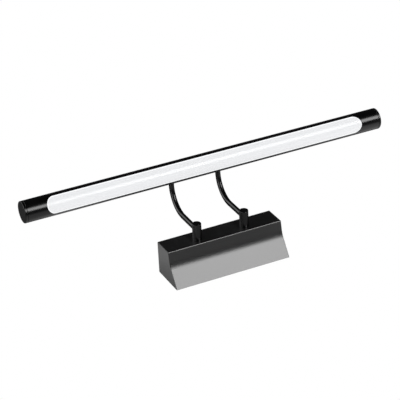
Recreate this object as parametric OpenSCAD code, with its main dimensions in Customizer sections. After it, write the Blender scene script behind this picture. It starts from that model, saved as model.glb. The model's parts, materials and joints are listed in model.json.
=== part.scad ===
// Picture light: a wall box with a flared front, two swan-neck arms and a tilting tube lamp.
// The box stands on its wall face at z = 0. +Z points away from the wall, +Y up the wall,
// and the lamp tube lies along X. The origin is the centre of the wall face.

/* [Wall box] */
// Length of the wall box along X
base_w = 161; // [150:1:200]
// Depth of the box at the wall, along Y
base_d = 53; // [50:1:60]
// Depth of the box at its outer face, along Y
base_top_d = 32; // [31:1:36]
// How far the box stands out from the wall
base_h = 44; // [43:1:60]
// Slope of the front's upper half, from square to the wall
brow_slope = 10; // [8:0.5:12]
// Slope of the front's flared foot
foot_slope = 34.5; // [32:0.5:37]
// Radius of the bend between them
flare_r = 30; // [25:1:35]
// Wall thickness of the box
shell_t = 2; // [1.5:0.1:2.5]

/* [Posts and arms] */
// Distance between the two posts, centre to centre
post_pitch = 67; // [66:1:84]
// Diameter of a post
post_d = 12; // [11.5:0.5:14]
// Height of a post above the box
post_h = 23; // [22:1:30]
// Place of the posts along Y
post_y = 7; // [6:0.5:8]
// Outside diameter of an arm
arm_d = 7; // [6:0.5:7]
// Wall thickness of an arm
arm_t = 1; // [0.8:0.1:1.2]
// Height of the arm's centreline above the box
arm_rise = 13.8; // [12:0.1:15]
// Straight stretch of an arm, from the post's centre to the bend
arm_run = 38.9; // [25:0.1:60]
// Bend radius of an arm on its centreline
arm_bend_r = 32.5; // [28:0.5:45]
// Straight stretch of an arm, from the bend to the lamp's centreline
arm_lead = 21; // [19:0.5:30]

/* [Lamp] */
// Overall length of the lamp
lamp_l = 500; // [460:1:620]
// Outside diameter of the lamp tube
lamp_d = 28; // [28:0.5:32]
// Wall thickness of the lamp tube
tube_t = 1.5; // [1:0.1:1.5]
// Angle by which the window looks outward from straight down the wall, at rest
lamp_angle = 24; // [10:1:40]
// Tilt of the lamp each way from rest
tilt_range = 60; // [30:1:60]
// Length of the window
window_l = 442; // [400:1:442]
// Width of the window, straight across
window_w = 21.9; // [20:0.1:21.9]
// Thickness of an end cap's flange
cap_t = 3; // [2:0.5:5]

/* [Hidden] */
$fn = 64;
fit = 0.05;           // radial gap between parts that are fixed to each other
run_fit = 0.03;       // radial gap between the pivot axle and its bearings
play = 0.15;          // gap round a part that drops into an opening
led_count = 48;
led_pitch = 9.2;

// Wall box: the front has two flat faces and a hollow bend between them.
wall_edge = [-base_d / 2, 0];
outer_edge = [base_d / 2 - base_top_d, base_h];
brow_up = [sin(brow_slope), cos(brow_slope)];
foot_up = [sin(foot_slope), cos(foot_slope)];
brow_out = [-brow_up.y, brow_up.x];
foot_out = [-foot_up.y, foot_up.x];
crease = 3;           // angle at which each flat face meets the bend
brow_reach = brow_out * outer_edge + flare_r * cos(crease);
foot_reach = foot_out * wall_edge + flare_r * cos(crease);
flare_c = [foot_reach * brow_out.y - brow_reach * foot_out.y,
           brow_reach * foot_out.x - foot_reach * brow_out.x] / sin(foot_slope - brow_slope);
edge_chamfer = 0.7;
in_top = base_h - shell_t;
in_back = base_d / 2 - shell_t;

// Wall bracket and what stands on it
plate_t = 1.5;
plate_l = 144;
plate_y = [-19, 20.5];
tab_t = 2;
tab_x = 55;
tab_w = 16;
tab_z = 8;
wall_hole_d = 5;
wall_hole_x = 66;
wall_slot_x = 52;
wall_slot_w = 4.5;
wall_slot_l = 9;
cable_x = 6;
cable_y = -4;
cable_hole_d = 12;
cable_bore_d = 9;
block_x = -30;
block_y = 3.5;
block_size = [27, 17, 13];
barrel_d = 5.4;
pole_pitch = 9;
pole_z = 7;
pole_screw_y = 5;
earth_x = -6;
earth_y = 15.5;
lug_t = 0.8;
lug_barrel_z = plate_t + 1.7;
clamp_y = -11;

// Driver, hung from a strap that the post nuts hold against the box
strap_t = 1;
strap_bottom = in_top - strap_t;
case_x = 23.4;
case_y = [-3, 21];
case_bottom = 22;
case_t = 1.4;
board_z = 24;
board_t = 1.5;
board_top = board_z + board_t;
core_top = board_top + 11.5;
ear_x = case_x + 0.1;
ear_t = 1.1;
driver_screw_y = 9;
driver_screw_z = 30.5;
lead_d = 1.6;
lead_exit_y = 0.5;
lead_exit_z = 28.5;
output_x = 20;
input_x = -20;
live_y = 18.4;
live_z = 31;
neutral_y = 15;
neutral_z = 27.5;

// Posts
post_x = post_pitch / 2;
post_chamfer = 0.6;
spigot_d = 8;
spigot_hole_d = spigot_d + 0.3;
washer_t = 1.2;
nut_h = 5;
nut_af = 13;
spigot_bottom = strap_bottom - washer_t - nut_h - 1;
wire_bore = 5;
arm_z = base_h + arm_rise;
arm_stop = 3.5;

// Arms and pivot
arm_bore = arm_d - 2 * arm_t;
arm_start_y = post_y - arm_stop;
neck_step = 0.1;      // by how much the stretch past the bend is thinner
neck_overlap = 1;     // how far it reaches into the bend
bend_y = post_y + arm_run;
axis_y = bend_y + arm_bend_r * sin(lamp_angle) - arm_lead * cos(lamp_angle);
axis_z = arm_z + arm_bend_r * (1 + cos(lamp_angle)) + arm_lead * sin(lamp_angle);
axle_d = 7;
axle_bore = 4.6;
axle_side_hole = 4;
axle_end = post_x + 14;
clip_t = 0.8;
clip_x = post_x + 12.05;
groove_d = 5.8;
ring_d = 9.4;
spring_x = post_x + 11.1;
spring_t = 0.9;
bearing_x = post_x + 4.6;
bearing_t = 6.4;

// Lamp, in its own frame: the window looks along -Y, X is the pivot axis
lamp_r = lamp_d / 2;
bore_r = lamp_r - tube_t;
seal_t = 0.5;
cap_chamfer = 0.8;
cap_depth = 9;
tube_l = lamp_l - 2 * (cap_t + seal_t);
strip_l = lamp_l - 36;
diffuser_r = bore_r - 0.1;
diffuser_t = 1.5;
diffuser_half_angle = 66;
pad_r = lamp_r - play;
tray_front = 6;
tray_t = 1.2;
tray_half_w = 9;
tray_back = tray_front - tray_t;
rail_y = 4.3;
rail_t = 1.2;
rail_half_w = 11.6;
pcb_t = 1;
pcb_w = 14;
pcb_front = tray_front + pcb_t;
tray_edge = [
    [-tray_front, tray_half_w], [-rail_y, tray_half_w], [-rail_y, rail_half_w],
    [rail_t - rail_y, rail_half_w], [rail_t - rail_y, tray_half_w - tray_t],
    [-tray_back, tray_half_w - tray_t]];
slot_w = arm_d + 1.4;
slot_half_angle = tilt_range + asin(slot_w / 2 / bore_r);
lead_hole_x = 7 * led_pitch;
board_screw_steps = [2, 12, 22];
cap_screw_x = lamp_l / 2 - 7;
bearing_screw_x = bearing_x + bearing_t / 2;
bearing_screw_z = 6.2;

// ---------------------------------------------------------------- helpers

// A round rod between two places on one axis.
module rod_x(d, x0, x1) translate([x0, 0, 0]) rotate([0, 90, 0]) cylinder(d = d, h = x1 - x0);
module rod_y(d, y0, y1) translate([0, y0, 0]) rotate([-90, 0, 0]) cylinder(d = d, h = y1 - y0);
module rod_z(d, z0, z1) translate([0, 0, z0]) cylinder(d = d, h = z1 - z0);

// An outline drawn in Y and Z, extruded along X and centred on it.
module along_x(length) rotate([90, 0, 90]) linear_extrude(height = length, center = true) children();

// A box from its low and high corners.
module block(low, high) translate(low) cube(high - low);

// Children on both sides, mirrored in X.
module both_sides() { children(); mirror([1, 0, 0]) children(); }

// Children placed in the lamp's own frame.
module in_lamp() translate([0, axis_y, axis_z]) rotate([-lamp_angle, 0, 0]) children();

function unit(v) = v / norm(v);
function side_of(v) = unit(abs(v.x) < 0.9 ? cross(v, [1, 0, 0]) : cross(v, [0, 1, 0]));
function frame_at(x, y, z, p) = [
    [x.x, y.x, z.x, p.x], [x.y, y.y, z.y, p.y], [x.z, y.z, z.z, p.z], [0, 0, 0, 1]];

// How far before and after a corner its bend of radius r starts and ends.
function trim(a, b, r) = r * tan(acos(unit(a) * unit(b)) / 2);

// A round bar along straight stretches, with a bend of its own radius at each corner.
module bar_along(points, radii, d) {
    last = len(points) - 1;
    for (i = [0 : last - 1]) {
        u = unit(points[i + 1] - points[i]);
        start = i == 0 ? points[0]
            : points[i] + u * trim(points[i] - points[i - 1], u, radii[i - 1]);
        end = i == last - 1 ? points[last]
            : points[i + 1] - u * trim(u, points[i + 2] - points[i + 1], radii[i]);
        if (norm(end - start) > 0.01)
            multmatrix(frame_at(side_of(u), cross(u, side_of(u)), u, start))
                cylinder(d = d, h = norm(end - start));
    }
    for (i = [1 : last - 1]) {
        a = unit(points[i] - points[i - 1]);
        b = unit(points[i + 1] - points[i]);
        r = radii[i - 1];
        n = unit(b - a * (a * b));
        multmatrix(frame_at(-n, a, cross(a, n), points[i] - a * trim(a, b, r) + n * r))
            rotate_extrude(angle = acos(a * b)) translate([r, 0]) circle(d = d, $fn = 32);
    }
}

// A machine screw along -Z with a cheese head that sits on z = 0 and a slot across it.
module pan_screw(d, shaft, head_d, head_h) {
    difference() {
        union() {
            rod_z(d, -shaft, 0);
            rod_z(head_d, 0, head_h);
        }
        block([-head_d, -head_d * 0.07, head_h * 0.5], [head_d, head_d * 0.07, head_h + 1]);
    }
}

// A countersunk screw along -Z, flush with z = 0, with a cross recess.
module flush_screw(d, length, head_d) {
    cone_h = (head_d - d) / 2;
    difference() {
        union() {
            rod_z(d, -length, -cone_h);
            translate([0, 0, -cone_h]) cylinder(d1 = d, d2 = head_d, h = cone_h);
        }
        for (a = [0, 90])
            rotate([0, 0, a]) block([-head_d * 0.3, -head_d * 0.07, -cone_h * 0.8],
                                    [head_d * 0.3, head_d * 0.07, 1]);
    }
}

// The hole that a countersunk screw goes into.
module flush_hole(d, length, head_d) {
    cone_h = (head_d - d) / 2;
    rod_z(d, -length, -cone_h / 2);
    translate([0, 0, -cone_h]) cylinder(d1 = d, d2 = head_d + 2, h = cone_h + 1);
}

// ---------------------------------------------------------------- wall box

// Section of the box in Y and Z, set in by inset from the back, the top and the front.
module box_section(inset) {
    low = inset > 0 ? -1 : 0;
    difference() {
        translate([-base_d / 2, low])
            square([base_d - inset, base_h - inset - low]);
        translate(flare_c) circle(r = flare_r + inset, $fn = 180);
        translate(outer_edge) rotate(-brow_slope) translate([inset - base_d, (flare_c - outer_edge) * brow_up])
            square(2 * base_d * [0.5, 1]);
        translate(wall_edge) rotate(-foot_slope) translate([inset - base_d, -base_d])
            square([base_d, base_d + (flare_c - wall_edge) * foot_up]);
        if (inset == 0) {
            translate(outer_edge) rotate(45) square(edge_chamfer * sqrt(2), center = true);
            translate([base_d / 2, base_h]) rotate(45) square(edge_chamfer, center = true);
        }
    }
}

module base_housing() {
    color("#1b1b1c") difference() {
        along_x(base_w) box_section(0);
        along_x(base_w - 2 * shell_t) box_section(shell_t);
        both_sides() {
            translate([post_x, post_y, 0]) rod_z(spigot_hole_d, in_top - 1, base_h + 1);
            translate([tab_x, base_d / 2, tab_z]) rotate([-90, 0, 0]) flush_hole(4.3, 4, 7.4);
        }
    }
}

module wall_bracket() {
    color("#a9adb0") difference() {
        union() {
            block([-plate_l / 2, plate_y[0], 0], [plate_l / 2, plate_y[1], plate_t]);
            both_sides() {
                block([tab_x - tab_w / 2, plate_y[1] - 1, 0],
                      [tab_x + tab_w / 2, in_back - 0.2, plate_t]);
                block([tab_x - tab_w / 2, in_back - 0.2 - tab_t, 0],
                      [tab_x + tab_w / 2, in_back - 0.2, tab_z + 6]);
            }
        }
        both_sides() {
            translate([wall_hole_x, 0, 0]) rod_z(wall_hole_d, -1, plate_t + 1);
            for (s = [-1, 1])
                translate([wall_slot_x + s * (wall_slot_l - wall_slot_w) / 2, 0, 0])
                    rod_z(wall_slot_w, -1, plate_t + 1);
            translate([wall_slot_x, 0, plate_t / 2])
                cube([wall_slot_l - wall_slot_w, wall_slot_w, plate_t + 2], center = true);
            translate([tab_x, 0, tab_z]) rod_y(4 + 2 * fit, in_back - tab_t - 1, in_back + 1);
        }
        translate([cable_x, cable_y, 0]) rod_z(cable_hole_d + 2 * fit, -1, plate_t + 1);
        translate([earth_x, earth_y, 0]) rod_z(4 + 2 * fit, -1, plate_t + 1);
        block_screw_places() rod_z(3 + 2 * fit, -1, plate_t + 1);
        clamp_screw_places() rod_z(3 + 2 * fit, -1, plate_t + 1);
    }
}

module housing_screws() {
    color("#222222") both_sides()
        translate([tab_x, base_d / 2 - 0.1, tab_z]) rotate([-90, 0, 0]) flush_screw(4, 6, 7.2);
}

module cable_grommet() {
    color("#2b2b2b") translate([cable_x, cable_y, 0]) difference() {
        union() {
            rod_z(cable_hole_d, 0, plate_t);
            rod_z(cable_hole_d + 3, plate_t, plate_t + 1.5);
        }
        rod_z(cable_bore_d, -1, plate_t + 3);
    }
}

module clamp_screw_places()
    for (s = [-1, 1]) translate([block_x + 8 * s, clamp_y, 0]) children();

module cable_clamp() {
    color("#d8d8d2") difference() {
        block([block_x - 11, clamp_y - 3, plate_t], [block_x + 11, clamp_y + 3, 7.5]);
        block([block_x - 4.5, clamp_y - 4, plate_t - 1], [block_x + 4.5, clamp_y + 4, 5.5]);
        clamp_screw_places() rod_z(3.2, 0, 9);
    }
}

module clamp_screws() {
    color("#c9ccd0") clamp_screw_places() translate([0, 0, 7.5]) pan_screw(3, 7.2, 5, 1.8);
}

// ---------------------------------------------------------------- terminals

module poles() for (i = [-1 : 1]) translate([block_x + i * pole_pitch, block_y, 0]) children();

module block_screw_places()
    for (s = [-0.5, 0.5]) translate([block_x + s * pole_pitch, block_y, 0]) children();

module terminal_block() {
    color("#e8e6df") difference() {
        translate([block_x - block_size.x / 2, block_y - block_size.y / 2, plate_t]) cube(block_size);
        poles() {
            translate([0, 0, pole_z]) rod_y(barrel_d + 2 * fit, -20, 20);
            for (s = [-1, 1]) translate([0, s * pole_screw_y, 0]) rod_z(4.2, pole_z, 20);
        }
        block_screw_places() {
            rod_z(3.1, 0, 20);
            rod_z(5.2, 9.5, 20);
        }
        for (s = [-0.5, 0.5], y = [-1, 1])
            translate([block_x + s * pole_pitch, block_y + y * 7, 0]) rod_z(2, 6, 20);
    }
}

module terminal_barrels() {
    color("#c8a24a") poles() translate([0, 0, pole_z]) difference() {
        rod_y(barrel_d, -7.5, 7.5);
        rod_y(3.2, -10, 10);
        for (s = [-1, 1]) translate([0, s * pole_screw_y, 0]) rod_z(3 + 2 * fit, 0, 5);
    }
}

module terminal_screws() {
    color("#c9ccd0") poles() for (s = [-1, 1])
        translate([0, s * pole_screw_y, pole_z + 3.4]) pan_screw(3, 2.2, 3.9, 1.6);
}

module block_screws() {
    color("#c9ccd0") block_screw_places() translate([0, 0, 9.5]) pan_screw(3, 9.2, 5, 1.8);
}

module earth_screw() {
    color("#c8a24a") translate([earth_x, earth_y, plate_t + lug_t]) pan_screw(4, 2.1, 7.5, 2.4);
}

module earth_lug() {
    color("#c9ccd0") translate([earth_x, earth_y, 0]) difference() {
        union() {
            rod_z(8.4, plate_t, plate_t + lug_t);
            block([-7.9, -1.4, plate_t], [0, 1.4, plate_t + lug_t]);
            translate([0, 0, lug_barrel_z]) rod_x(3.2, -7.9, -4.6);
        }
        rod_z(4 + 2 * fit, 0, 5);
        translate([0, 0, lug_barrel_z]) rod_x(2.1, -9, -4);
    }
}

module earth_lead() {
    color("#3f9a3a") bar_along([
        [block_x + pole_pitch, block_y + 4, pole_z], [block_x + pole_pitch, earth_y, pole_z],
        [block_x + pole_pitch, earth_y, lug_barrel_z], [earth_x - 5, earth_y, lug_barrel_z]],
        [1.5, 1.5], 2);
}

// ---------------------------------------------------------------- driver

module driver_strap() {
    color("#b4b8ba") difference() {
        union() {
            block([-post_x - 9, post_y - 9, strap_bottom], [post_x + 9, post_y + 9, in_top]);
            both_sides() block([ear_x, driver_screw_y - 4, case_bottom + 1],
                               [ear_x + ear_t, driver_screw_y + 4, in_top]);
        }
        both_sides() {
            translate([post_x, post_y, 0]) rod_z(spigot_hole_d, strap_bottom - 1, in_top + 1);
            translate([0, driver_screw_y, driver_screw_z]) rod_x(3.2, ear_x - 1, ear_x + 3);
        }
    }
}

module driver_screws() {
    color("#c9ccd0") both_sides()
        translate([ear_x + ear_t, driver_screw_y, driver_screw_z]) rotate([0, 90, 0])
            pan_screw(3, 4, 4.6, 1.6);
}

module driver_case() {
    color("#3a3d40") difference() {
        block([-case_x, case_y[0], case_bottom], [case_x, case_y[1], strap_bottom]);
        block([-case_x + case_t, case_y[0] + case_t, case_bottom - 1],
              [case_x - case_t, case_y[1] - case_t, strap_bottom - case_t]);
        both_sides() {
            translate([0, driver_screw_y, driver_screw_z]) rod_x(3 + 2 * fit, case_x - 3, case_x + 1);
            translate([0, lead_exit_y, lead_exit_z]) rod_x(lead_d + 0.4, case_x - 3, case_x + 1);
        }
        for (p = [[live_y, live_z], [neutral_y, neutral_z]])
            translate([0, p[0], p[1]]) rod_x(lead_d + 0.4, -case_x - 1, -case_x + 3);
    }
}

module driver_cover() {
    color("#45494c") union() {
        block([-case_x, case_y[0], case_bottom - 1.5], [case_x, case_y[1], case_bottom]);
        difference() {
            block([-case_x + case_t + 0.1, case_y[0] + case_t + 0.1, case_bottom - 0.5],
                  [case_x - case_t - 0.1, case_y[1] - case_t - 0.1, board_z]);
            block([-case_x + 3, case_y[0] + 3, case_bottom], [case_x - 3, case_y[1] - 3, board_z + 1]);
        }
    }
}

module driver_board() {
    color("#2f6b3c") block([-case_x + case_t + 0.3, case_y[0] + case_t + 0.3, board_z],
                           [case_x - case_t - 0.3, case_y[1] - case_t - 0.3, board_top]);
}

module driver_transformer() {
    color("#d8b23a") {
        block([-5, 4, board_top], [9, 8, core_top]);
        block([-5, 14, board_top], [9, 18, core_top]);
        block([-5, 8, board_top], [-1.5, 14, core_top]);
        block([5.5, 8, board_top], [9, 14, core_top]);
        block([-1.5, 8, board_top + 1], [5.5, 14, core_top - 1]);
    }
}

module driver_capacitors() {
    color("#30343a") {
        translate([-12, 4.5, 0]) rod_z(8, board_top, board_top + 11);
        translate([15.5, 5, 0]) rod_z(6.3, board_top, board_top + 9);
        translate([15.5, 13, 0]) rod_z(6.3, board_top, board_top + 9);
    }
}

module driver_choke() {
    color("#a8672d") translate([-12, 13, board_top]) difference() {
        union() {
            rod_z(8, 0, 1.2);
            rod_z(5.6, 1.2, 6);
            rod_z(8, 6, 7.2);
        }
        rod_z(2, 5, 8);
    }
}

module driver_chips() {
    color("#151515") {
        block([-3, -1, board_top], [3, 2.6, board_top + 1.6]);
        block([6, -1, board_top], [10.5, 2.6, board_top + 1.6]);
    }
}

module live_lead() {
    color("#7a4a24") bar_along([
        [input_x, live_y, board_top], [input_x, live_y, live_z], [block_x - pole_pitch, live_y, live_z],
        [block_x - pole_pitch, live_y, pole_z], [block_x - pole_pitch, block_y + 4, pole_z]],
        [1.5, 3, 3], lead_d);
}

module neutral_lead() {
    color("#2d5fb0") bar_along([
        [input_x, neutral_y, board_top], [input_x, neutral_y, neutral_z],
        [block_x, neutral_y, neutral_z], [block_x, neutral_y, pole_z],
        [block_x, block_y + 4, pole_z]],
        [1.5, 3, 3], lead_d);
}

// ---------------------------------------------------------------- posts and arms

module post() {
    color("#232324") difference() {
        union() {
            rod_z(post_d, base_h, base_h + post_h - post_chamfer);
            translate([0, 0, base_h + post_h - post_chamfer])
                cylinder(d1 = post_d, d2 = post_d - 2 * post_chamfer, h = post_chamfer);
            rod_z(spigot_d, spigot_bottom, base_h);
        }
        rod_z(wire_bore, spigot_bottom - 1, arm_z);
        translate([0, 0, arm_z]) rod_y(arm_d + 2 * fit, -arm_stop - fit, post_d);
        translate([0, 0, arm_z]) rod_x(3 + 2 * fit, 0, post_d);
    }
}

module post_left() translate([-post_x, post_y, 0]) post();
module post_right() translate([post_x, post_y, 0]) post();

module post_washers() {
    color("#c9ccd0") both_sides() translate([post_x, post_y, 0]) difference() {
        rod_z(15, strap_bottom - washer_t, strap_bottom);
        rod_z(spigot_d + 0.4, 0, strap_bottom + 1);
    }
}

module post_nuts() {
    top = strap_bottom - washer_t;
    color("#c9ccd0") both_sides() translate([post_x, post_y, 0]) difference() {
        translate([0, 0, top - nut_h]) cylinder(d = nut_af / cos(30), h = nut_h, $fn = 6);
        rod_z(spigot_d + 2 * fit, top - nut_h - 1, top + 1);
    }
}

module arm_screws() {
    color("#1c1c1c") for (x = [-post_x, post_x])
        translate([x + arm_d / 2 + fit, post_y, arm_z]) difference() {
            rod_x(3, 0, (post_d - arm_d) / 2 - 0.3);
            translate([1, 0, 0]) rotate([0, 90, 0]) cylinder(d = 1.7, h = 5, $fn = 6);
        }
}

// The far end of an arm or of the wire in it: the bend, and the stretch that enters the lamp.
module neck(x, d) {
    translate([x, bend_y, arm_z + arm_bend_r]) rotate([90, 0, 90]) rotate([0, 0, -90])
        rotate_extrude(angle = 180 - lamp_angle) translate([arm_bend_r, 0]) circle(d = d, $fn = 32);
    in_lamp() translate([x, 0, 0]) rod_y(d - neck_step, 0, arm_lead + neck_overlap);
}

module arm(x) {
    color("#161617") difference() {
        union() {
            translate([x, 0, arm_z]) rod_y(arm_d, arm_start_y, bend_y);
            neck(x, arm_d);
        }
        union() {
            translate([x, 0, arm_z]) rod_y(arm_bore, arm_start_y - 1, bend_y);
            neck(x, arm_bore);
        }
        translate([x, post_y, 0]) rod_z(4.6, base_h, arm_z);
        in_lamp() rod_x(axle_d + 2 * fit, x - 10, x + 10);
    }
}

module arm_left() arm(-post_x);
module arm_right() arm(post_x);

module pivot_axle() {
    color("#b9bcc0") in_lamp() difference() {
        rod_x(axle_d, -axle_end, axle_end);
        rod_x(axle_bore, -axle_end - 1, axle_end + 1);
        both_sides() {
            translate([post_x, 0, 0]) rod_y(axle_side_hole, 0, axle_d);
            difference() {
                rod_x(axle_d + 2, clip_x - fit, clip_x + clip_t + fit);
                rod_x(groove_d, clip_x - 1, clip_x + 2);
            }
        }
    }
}

module friction_washers() {
    color("#c9ccd0") in_lamp() both_sides() difference() {
        rod_x(ring_d, spring_x, spring_x + spring_t);
        rod_x(axle_d + 0.3, spring_x - 1, spring_x + 2);
    }
}

module axle_clips() {
    color("#3c3f42") in_lamp() both_sides() difference() {
        rod_x(ring_d, clip_x, clip_x + clip_t);
        rod_x(groove_d + 2 * fit, clip_x - 1, clip_x + 2);
        block([clip_x - 1, -2, -10], [clip_x + 2, 2, 0]);
    }
}

// Lead from the driver through one post and arm, then, past a crimp splice, out along the axle.
// side is 1 for the right arm and -1 for the left.
module output_lead(side) {
    x = side * post_x;
    bar_along([
        [side * output_x, lead_exit_y, board_top], [side * output_x, lead_exit_y, lead_exit_z],
        [x, lead_exit_y, lead_exit_z], [x, post_y, lead_exit_z], [x, post_y, arm_z],
        [x, bend_y, arm_z]], [1.5, 3, 3, 3], lead_d);
    neck(x, lead_d);
    in_lamp() {
        translate([x, 0, 0]) sphere(d = lead_d + 0.6);
        rod_x(lead_d, min(x, side * (axle_end - 0.1)), max(x, side * (axle_end - 0.1)));
    }
}

module negative_lead() color("#1a1a1a") output_lead(1);
module positive_lead() color("#b3261e") output_lead(-1);

// ---------------------------------------------------------------- lamp

// The window's outline, a slot with round ends, pushed through along Y in front of the axis.
module window_slot(gap) {
    w = window_w - 2 * gap;
    straight = window_l - 2 * gap - w;
    translate([0, -3, 0]) rotate([90, 0, 0]) linear_extrude(height = lamp_r) {
        square([straight, w], center = true);
        for (s = [-1, 1]) translate([s * straight / 2, 0]) circle(d = w);
    }
}

// A sector of a ring round the X axis, centred on the direction given from -Y.
module ring_sector(r_in, r_out, half_angle, toward, x0, x1)
    translate([x0, 0, 0]) rotate([90, 0, 90]) rotate([0, 0, 180 + toward - half_angle])
        rotate_extrude(angle = 2 * half_angle) translate([r_in, 0]) square([r_out - r_in, x1 - x0]);

module lamp_tube() {
    color("#161617") in_lamp() difference() {
        difference() {
            rod_x(lamp_d, -tube_l / 2, tube_l / 2);
            rod_x(2 * bore_r, -lamp_l, lamp_l);
        }
        window_slot(0);
        both_sides() {
            ring_sector(bore_r - 2, lamp_r + 2, slot_half_angle, 180,
                        post_x - slot_w / 2, post_x + slot_w / 2);
            translate([cap_screw_x, lamp_r, 0]) rotate([-90, 0, 0]) flush_hole(3.2, 5, 5.6);
        }
    }
}

module diffuser() {
    color("#f4f4f6") in_lamp() union() {
        ring_sector(diffuser_r - diffuser_t, diffuser_r, diffuser_half_angle, 0,
                    -strip_l / 2, strip_l / 2);
        difference() {
            intersection() {
                window_slot(play);
                rod_x(2 * pad_r, -lamp_l / 2, lamp_l / 2);
            }
            rod_x(2 * diffuser_r - 0.4, -lamp_l, lamp_l);
        }
    }
}

module led_tray() {
    color("#c4c7ca") in_lamp() difference() {
        along_x(strip_l) polygon(concat(tray_edge, [
            for (i = [len(tray_edge) - 1 : -1 : 0]) [tray_edge[i].x, -tray_edge[i].y]]));
        board_screw_places() rod_y(2.5 + 2 * fit, -10, 0);
        bearing_screw_places() flush_hole(2.7, 3, 4.7);
        both_sides() translate([lead_hole_x, 0, 0]) rod_y(3, -10, 0);
    }
}

module board_screw_places()
    both_sides() for (k = board_screw_steps) translate([k * led_pitch, 0, 0]) children();

module bearing_screw_places()
    both_sides() for (s = [-1, 1])
        translate([bearing_screw_x, -tray_front, s * bearing_screw_z]) rotate([90, 0, 0]) children();

module led_board() {
    color("#eef0ee") in_lamp() difference() {
        block([-strip_l / 2 + 10, -pcb_front, -pcb_w / 2], [strip_l / 2 - 10, -tray_front, pcb_w / 2]);
        board_screw_places() rod_y(2.7, -10, 0);
        both_sides() translate([lead_hole_x, 0, 0]) rod_y(2.2, -10, 0);
    }
}

module leds() {
    color("#f2d24a") in_lamp() for (i = [0 : led_count - 1])
        translate([(i - (led_count - 1) / 2) * led_pitch, -pcb_front - 0.35, 0])
            cube([3.5, 0.7, 2.8], center = true);
}

module board_screws() {
    color("#c9ccd0") in_lamp() board_screw_places()
        translate([0, -pcb_front, 0]) rotate([90, 0, 0]) pan_screw(2.5, 2.1, 4.4, 1.2);
}

module bearing(x0) {
    color("#e2dfd6") in_lamp() translate([x0 + bearing_t / 2, 0, 0]) difference() {
        along_x(bearing_t) {
            difference() {
                circle(r = diffuser_r);
                translate([-lamp_d, -lamp_d]) square([lamp_d - rail_y + rail_t + fit, 2 * lamp_d]);
            }
            translate([fit - tray_back, fit - tray_half_w + tray_t])
                square([2.5, 2 * (tray_half_w - tray_t - fit)]);
        }
        rod_x(axle_d + 2 * run_fit, -bearing_t, bearing_t);
        for (s = [-1, 1]) translate([0, -tray_front, s * bearing_screw_z]) rod_y(2.5 + 2 * fit, 0, 5.5);
    }
}

module bearing_left() bearing(-bearing_x - bearing_t);
module bearing_right() bearing(bearing_x);

module bearing_screws() {
    color("#c9ccd0") in_lamp() bearing_screw_places() flush_screw(2.5, 5.4, 4.6);
}

// Lead from the end of the axle to the front of the LED board, on the right.
module board_lead()
    in_lamp() bar_along([[axle_end + 0.3, 0, 0], [lead_hole_x, 0, 0], [lead_hole_x, -pcb_front - 0.4, 0]],
                        [4], lead_d);

module board_lead_negative() color("#1a1a1a") board_lead();
module board_lead_positive() color("#b3261e") mirror([1, 0, 0]) board_lead();

module end_cap() {
    inner = lamp_l / 2 - cap_t;
    color("#1b1b1c") in_lamp() difference() {
        union() {
            rod_x(lamp_d, inner, lamp_l / 2 - cap_chamfer);
            translate([lamp_l / 2 - cap_chamfer, 0, 0]) rotate([0, 90, 0])
                cylinder(d1 = lamp_d, d2 = lamp_d - 2 * cap_chamfer, h = cap_chamfer);
            rod_x(2 * diffuser_r, inner - cap_depth, inner);
        }
        rod_x(2 * diffuser_r - 3.6, inner - cap_depth - 1, inner);
        translate([cap_screw_x, 0, 0]) rod_y(3 + 2 * fit, 0, lamp_r);
    }
}

module end_cap_right() end_cap();
module end_cap_left() mirror([1, 0, 0]) end_cap();

module cap_screws() {
    color("#1c1c1c") in_lamp() both_sides()
        translate([cap_screw_x, lamp_r - 0.05, 0]) rotate([-90, 0, 0]) flush_screw(3, 4.5, 5.4);
}

module cap_seals() {
    color("#0d0d0d") in_lamp() both_sides() difference() {
        rod_x(lamp_d - 0.8, tube_l / 2, tube_l / 2 + seal_t);
        rod_x(2 * bore_r, tube_l / 2 - 1, tube_l / 2 + 1);
    }
}

base_housing();
wall_bracket();
housing_screws();
cable_grommet();
cable_clamp();
clamp_screws();
terminal_block();
terminal_barrels();
terminal_screws();
block_screws();
earth_screw();
earth_lug();
earth_lead();
live_lead();
neutral_lead();
driver_strap();
driver_screws();
driver_case();
driver_cover();
driver_board();
driver_transformer();
driver_capacitors();
driver_choke();
driver_chips();
post_left();
post_right();
post_washers();
post_nuts();
arm_screws();
arm_left();
arm_right();
pivot_axle();
friction_washers();
axle_clips();
positive_lead();
negative_lead();
lamp_tube();
diffuser();
led_tray();
led_board();
leds();
board_screws();
bearing_left();
bearing_right();
bearing_screws();
board_lead_positive();
board_lead_negative();
end_cap_left();
end_cap_right();
cap_screws();
cap_seals();
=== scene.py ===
"""Picture light: the looks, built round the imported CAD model.

Shapes are worked out in millimetres and scaled once, when a piece is made.
The lamp's pieces are drawn in the lamp's own frame: X along the tube, the window looking along -Y.
"""

import json
import math

import bmesh
import bpy
from mathutils import Matrix, Vector
from mathutils.geometry import delaunay_2d_cdt

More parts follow.
